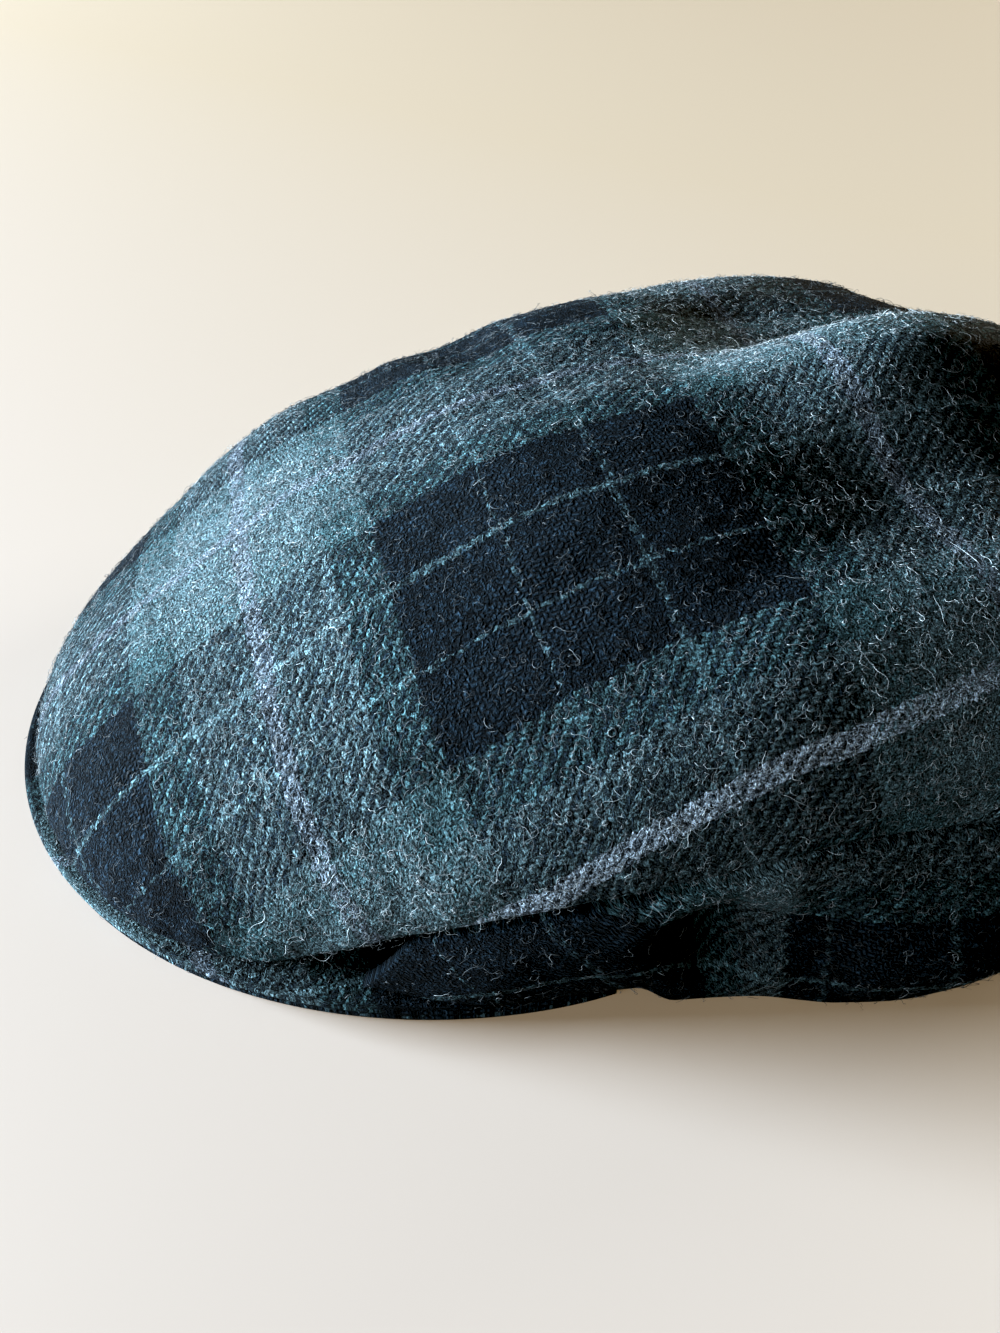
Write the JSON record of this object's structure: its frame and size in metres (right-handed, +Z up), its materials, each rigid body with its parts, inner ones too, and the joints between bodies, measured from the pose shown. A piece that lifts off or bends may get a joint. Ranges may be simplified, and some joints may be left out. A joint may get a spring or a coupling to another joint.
{
  "type": "flat cap",
  "caption": "Soft wool flat cap in a blue plaid twill, with a domed top panel, crescent side panels and a flat cloth-covered peak.",
  "frame": {"origin": "middle of the base, on the surface that the cap lies on", "axes": "+Z up, -Y towards the tip of the peak, +X towards the wearer's left"},
  "size_m": [0.2106, 0.2696, 0.0813],
  "materials": {
    "plaid_wool": "fuzzy wool twill, navy and pale blue plaid",
    "peak_under_cloth": "wool twill, dark navy"
  },
  "bodies": {
    "root": {"top_panel": "plaid_wool", "side_panel_left": "plaid_wool", "side_panel_right": "plaid_wool", "peak_top": "plaid_wool", "peak_under": "peak_under_cloth"}
  },
  "joints": []
}
